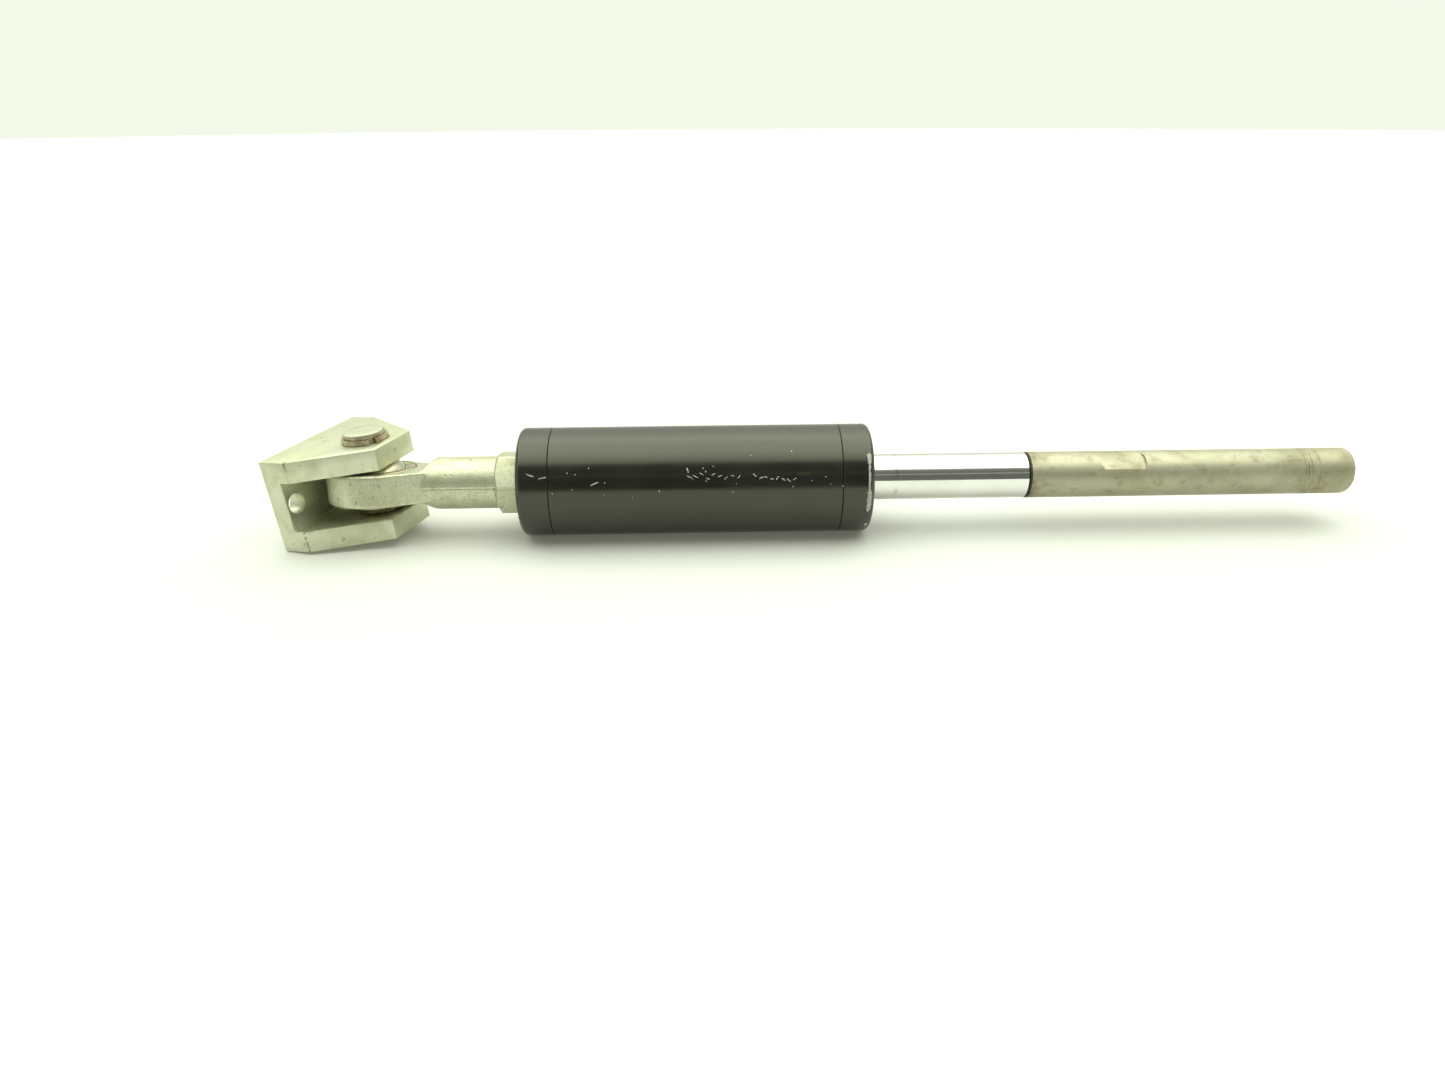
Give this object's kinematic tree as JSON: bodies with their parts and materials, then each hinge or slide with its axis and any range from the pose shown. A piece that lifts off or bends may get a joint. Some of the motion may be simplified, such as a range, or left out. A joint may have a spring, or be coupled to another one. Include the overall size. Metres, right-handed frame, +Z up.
{
  "type": "hydraulic cylinder",
  "caption": "Self-contained round hydraulic cylinder: black barrel with screwed caps, chromed rod with a plain extension, and a spherical rod end held by a pin in a clevis bracket.",
  "frame": {"origin": "centre of the box on the floor that the cylinder lies on, below the cylinder axis's middle", "axes": "+X along the cylinder axis from the clevis bracket to the free end of the rod, +Y away from the side shown in front, +Z up"},
  "size_m": [0.5666, 0.0752, 0.0592],
  "materials": {
    "black_coating": "semi-gloss black with chips",
    "hard_chrome": "polished",
    "dull_steel": "dull, stained",
    "zinc_plate": "yellowish zinc plating",
    "forged_zinc": "grainy forged surface, zinc plated",
    "brown_steel": "stained",
    "machined_steel": "machined",
    "bronze": "turned",
    "aluminium": "turned",
    "seal_rubber": "matte",
    "white_polymer": "satin"
  },
  "bodies": {
    "barrel": {"barrel_tube": "black_coating", "rear_cap": "black_coating", "rear_cap_seal": "seal_rubber", "front_cap": "black_coating", "front_cap_seal": "seal_rubber", "rod_bush": "bronze", "rod_seal": "white_polymer", "rod_wiper": "seal_rubber", "filling_plug": "machined_steel", "mounting_stud": "machined_steel", "rod_end_housing": "forged_zinc", "bearing_race": "bronze"},
    "piston_rings": {"piston_guide_ring": "white_polymer", "piston_seal": "seal_rubber"},
    "rod": {"piston_rod": "hard_chrome", "piston": "machined_steel", "valve_plate": "machined_steel", "piston_nut": "machined_steel", "rod_extension": "dull_steel"},
    "separator": {"separator_piston": "aluminium", "separator_seal": "seal_rubber"},
    "liner": {"bearing_liner": "white_polymer"},
    "ball": {"bearing_ball": "machined_steel"},
    "pin": {"clevis_pin": "brown_steel", "upper_pin_ring": "brown_steel", "lower_pin_ring": "brown_steel"},
    "clevis": {"clevis_bracket": "zinc_plate"}
  },
  "joints": [
    {"name": "rod_stroke", "type": "slide", "parent": "barrel", "child": "piston_rings", "axis": [1, 0, 0], "range_m": [-0.06, 0]},
    {"name": "rod_spin", "type": "hinge", "parent": "piston_rings", "child": "rod", "pos_m": [0, -0.00908, 0.0285], "axis": [1, 0, 0], "continuous": true},
    {"name": "separator_slide", "type": "slide", "parent": "barrel", "child": "separator", "axis": [1, 0, 0], "range_m": [-0.0176, 0]},
    {"name": "bearing_roll", "type": "hinge", "parent": "barrel", "child": "liner", "pos_m": [-0.23438, -0.00908, 0.0285], "axis": [1, 0, 0], "range_deg": [-19, 0]},
    {"name": "bearing_pitch", "type": "hinge", "parent": "liner", "child": "ball", "pos_m": [-0.23438, -0.00908, 0.0285], "axis": [0, 1, 0], "range_deg": [0, 10.2]},
    {"name": "clevis_swivel", "type": "hinge", "parent": "ball", "child": "clevis", "pos_m": [-0.23438, -0.00908, 0.0285], "axis": [-0.0889, 0, 0.996], "range_deg": [-55.3, 94.7]},
    {"name": "pin_spin", "type": "hinge", "parent": "ball", "child": "pin", "pos_m": [-0.23438, -0.00908, 0.0285], "axis": [-0.0889, 0, 0.996], "continuous": true}
  ],
  "couplings": [
    {"joint": "separator_slide", "follows": "rod_stroke", "ratio": 0.2916}
  ]
}
